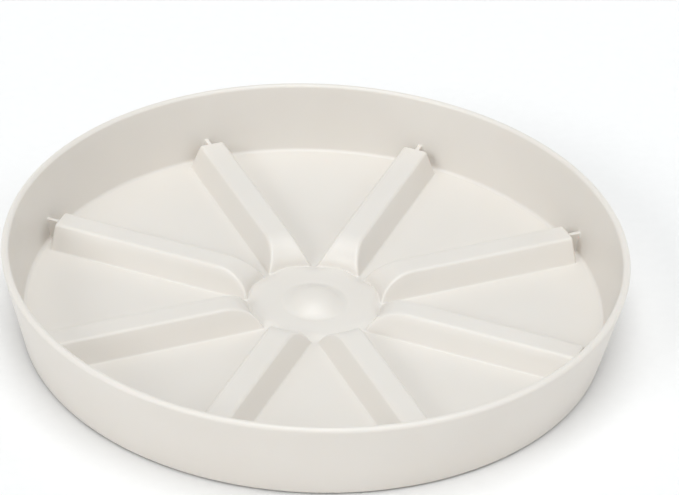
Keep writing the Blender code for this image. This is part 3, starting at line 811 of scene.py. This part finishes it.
def screw_thread(height, angles, low, high):
    """Radius of the threaded shank at a height, all the way round."""
    phase = np.mod(height / THREAD_PITCH - angles / TAU, 1.0)
    ridge = np.clip(THREAD_LAND - np.abs(phase - 0.5) * THREAD_FLANK, 0.0, 1.0)
    run_out = smooth_step(high - THREAD_RUN_OUT, high, height)
    fade = smooth_step(low, low + THREAD_PITCH, height) * (1.0 - run_out)
    point = 1.0 - POINT_TAPER * smooth_step(high - POINT_LENGTH, high, height)
    return (THREAD_ROOT + (THREAD_CREST - THREAD_ROOT) * ridge * fade) * point


def cross_recess(x, y):
    """Depth of the cross in the screw's head."""
    inside = np.maximum(np.minimum(CROSS_ARM - np.abs(x), CROSS_HALF - np.abs(y)),
                        np.minimum(CROSS_ARM - np.abs(y), CROSS_HALF - np.abs(x)))
    floor = CROSS_DEPTH - CROSS_FALL * np.hypot(x, y)
    return np.clip(inside * CROSS_WALL_SLOPE, 0.0, floor)


def make_screw(material):
    low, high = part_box("retaining_screw")
    seat = low.z + SCREW_HEAD_HEIGHT
    angles = TAU * np.arange(SCREW_SIDES) / SCREW_SIDES

    def row(radius, height):
        heights = np.full(SCREW_SIDES, height)
        return np.stack([radius * np.cos(angles), radius * np.sin(angles), heights], 1)

    rows = [row(POINT_RADIUS, high.z)]
    for height in np.linspace(high.z - SHANK_TOP_GAP, seat + SHANK_FOOT_GAP, THREAD_ROWS):
        rows.append(row(screw_thread(height, angles, seat + THREAD_START, high.z), height))
    crown_center = (high.x - SCREW_CROWN_ROUND, low.z + SCREW_CROWN_ROUND)
    crown = arc(crown_center, SCREW_CROWN_ROUND, 0.0, -90.0, SCREW_CROWN_STEPS)
    head = [(SCREW_NECK, seat), (high.x - SCREW_SHOULDER, seat), (high.x, seat - SCREW_SHOULDER)] + crown
    rows += [row(radius, height) for radius, height in head]
    for radius in np.linspace(crown[-1][0], CROSS_INNERMOST, CROSS_ROWS)[1:]:
        depth = cross_recess(radius * np.cos(angles), radius * np.sin(angles))
        rows.append(row(radius, low.z + depth))
    recess_floor = low.z + float(cross_recess(0.0, 0.0))
    mesh = skin_rows("pan_head_screw", rows, (0.0, 0.0, high.z), (0.0, 0.0, recess_floor))
    stand_in("pan_head_screw", mesh, material, "turntable", "retaining_screw")


def make_cage(material):
    low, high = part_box("ball_cage")
    inner, outer = TRACK_RADIUS - CAGE_HALF, TRACK_RADIUS + CAGE_HALF
    corners = [(inner, high.z, CAGE_EDGE), (outer, high.z, CAGE_EDGE),
               (outer, low.z, CAGE_EDGE), (inner, low.z, CAGE_EDGE)]
    mesh = turned_mesh("cage_ring", rounded_outline(corners), CAGE_SIDES)
    bevel = POCKET_RADIUS + EDGE_MIDDLE * POCKET_FLARE
    mouth = POCKET_RADIUS + POCKET_FLARE
    bevel_depth = FLARE_MIDDLE * POCKET_FLARE
    depth = FLARE_DEPTH * POCKET_FLARE
    profile = [(0.0, high.z + CUT_MARGIN), (mouth + CUT_MARGIN, high.z + CUT_MARGIN), (mouth, high.z),
               (bevel, high.z - bevel_depth), (POCKET_RADIUS, high.z - depth),
               (POCKET_RADIUS, low.z + depth), (bevel, low.z + bevel_depth),
               (mouth, low.z), (mouth + CUT_MARGIN, low.z - CUT_MARGIN), (0.0, low.z - CUT_MARGIN)]
    cutters = cutters_mesh("pockets", profile, BALL_SIDES, TRACK_RADIUS, BALL_ANGLES)
    mesh = combine(mesh, cutters, "DIFFERENCE")
    stand_in("cage_ring", mesh, material, "cage", "ball_cage")


def make_balls(material):
    for number in range(1, BALL_COUNT + 1):
        node = f"bearing_ball_{number:02d}"
        low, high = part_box(node)
        center = (low + high) / 2.0
        profile = arc((0.0, center.z), (high.z - low.z) / 2.0, 90.0, -90.0, BALL_SIDES // 2)
        profile[0] = (0.0, high.z)
        profile[-1] = (0.0, low.z)
        mesh = turned_mesh(node, profile, BALL_SIDES, (center.x, center.y))
        stand_in(f"steel_ball_{number:02d}", mesh, material, "cage", node)


def make_mechanism():
    """The pieces under the tray."""
    base = moulded_plastic("base_grained_plastic", dark=(0.60, 0.585, 0.55), light=(0.66, 0.645, 0.61),
                           roughness=0.55, grain_scale=1500.0)
    cage = moulded_plastic("cage_acetal", dark=(0.76, 0.75, 0.71), light=(0.80, 0.79, 0.75),
                           roughness=0.42, grain_scale=2200.0)
    bush = moulded_plastic("bush_acetal", dark=(0.80, 0.79, 0.74), light=(0.84, 0.83, 0.79),
                           roughness=0.36, grain_scale=2600.0)
    make_base_plate(base)
    make_foot_pads(pad_rubber())
    make_pivot_bush(bush)
    make_cage(cage)
    make_balls(scratched_steel("ball_steel", (0.72, 0.72, 0.73), roughness=0.10, scale=700.0))
    make_washer(scratched_steel("washer_zinc", (0.62, 0.63, 0.64), roughness=0.30, scale=400.0))
    make_screw(scratched_steel("screw_zinc", (0.60, 0.61, 0.62), roughness=0.28, scale=500.0))


# ---------------------------------------------------------------- stage, light and camera
def make_floor():
    """A broad pale floor, curved up far behind the object on every side."""
    bm = bmesh.new()
    turns = [TAU * side / FLOOR_SIDES for side in range(FLOOR_SIDES)]
    before = [bm.verts.new((0.0, 0.0, 0.0))] * FLOOR_SIDES
    for radius, height in FLOOR_PROFILE:
        ring = [bm.verts.new((radius * math.cos(turn), radius * math.sin(turn), height)) for turn in turns]
        for side in range(FLOOR_SIDES):
            after = (side + 1) % FLOOR_SIDES
            bm.faces.new(list(dict.fromkeys((before[side], ring[side], ring[after], before[after]))))
        before = ring
    mesh = bpy.data.meshes.new("studio_floor")
    bm.to_mesh(mesh)
    bm.free()
    mesh.shade_smooth()
    material, nodes, links, shader = new_material("studio_white", (0.855, 0.84, 0.825), 0.7)
    paper = add_noise(nodes, links, scale=300.0, detail=3.0)
    vary_color(nodes, links, shader, paper, dark=(0.850, 0.835, 0.820), light=(0.860, 0.845, 0.830))
    floor = add_piece("studio_floor", mesh, material)


def add_soft_light(name, azimuth, elevation, strength, spread):
    """A broad, distant light, so the floor is as pale far away as it is near.

    Angles in degrees. Azimuth 0 is the camera's side and 90 is to the right of it.
    """
    light = bpy.data.lights.new(name, "SUN")
    light.angle = math.radians(spread)
    light.energy = strength
    light.color = LIGHT_COLOR
    item = bpy.data.objects.new(name, light)
    bpy.context.scene.collection.objects.link(item)
    turn = math.radians(azimuth)
    rise = math.radians(elevation)
    toward = Vector((math.sin(turn) * math.cos(rise), -math.cos(turn) * math.cos(rise), math.sin(rise)))
    item.location = toward
    item.rotation_euler = (-toward).to_track_quat("-Z", "Y").to_euler()


def make_lights():
    world = bpy.data.worlds.new("studio_world")
    world.use_nodes = True
    background = world.node_tree.nodes["Background"]
    background.inputs["Color"].default_value = (*LIGHT_COLOR, 1.0)
    background.inputs["Strength"].default_value = SKY_STRENGTH
    bpy.context.scene.world = world
    for light in STUDIO_LIGHTS:
        add_soft_light(*light)
    bpy.context.scene.view_settings.view_transform = "Standard"


def make_camera():
    """A long lens about 33 degrees above the table, rolled a little."""
    azimuth = math.radians(-2.05)
    elevation = math.radians(33.415)
    roll = math.radians(2.648)
    distance = 1.23371
    target = Vector((0.00695, 0.0, 0.02725))
    forward = Vector((0.0, math.cos(elevation), -math.sin(elevation)))
    across = Vector((1.0, 0.0, 0.0))
    up = across.cross(forward)
    right = across * math.cos(roll) + up * math.sin(roll)
    upward = up * math.cos(roll) - across * math.sin(roll)
    matrix = Matrix((right, upward, -forward)).transposed().to_4x4()
    matrix.translation = target - forward * distance
    data = bpy.data.cameras.new("camera")
    data.sensor_width = 36.0
    data.lens = 216.6
    data.clip_start = 0.05
    data.clip_end = 30.0
    camera = bpy.data.objects.new("camera", data)
    bpy.context.scene.collection.objects.link(camera)
    camera.matrix_world = Matrix.Rotation(azimuth, 4, "Z") @ matrix
    bpy.context.scene.camera = camera


make_camera()
make_lights()
make_floor()
make_tray(tray_plastic())
make_mechanism()
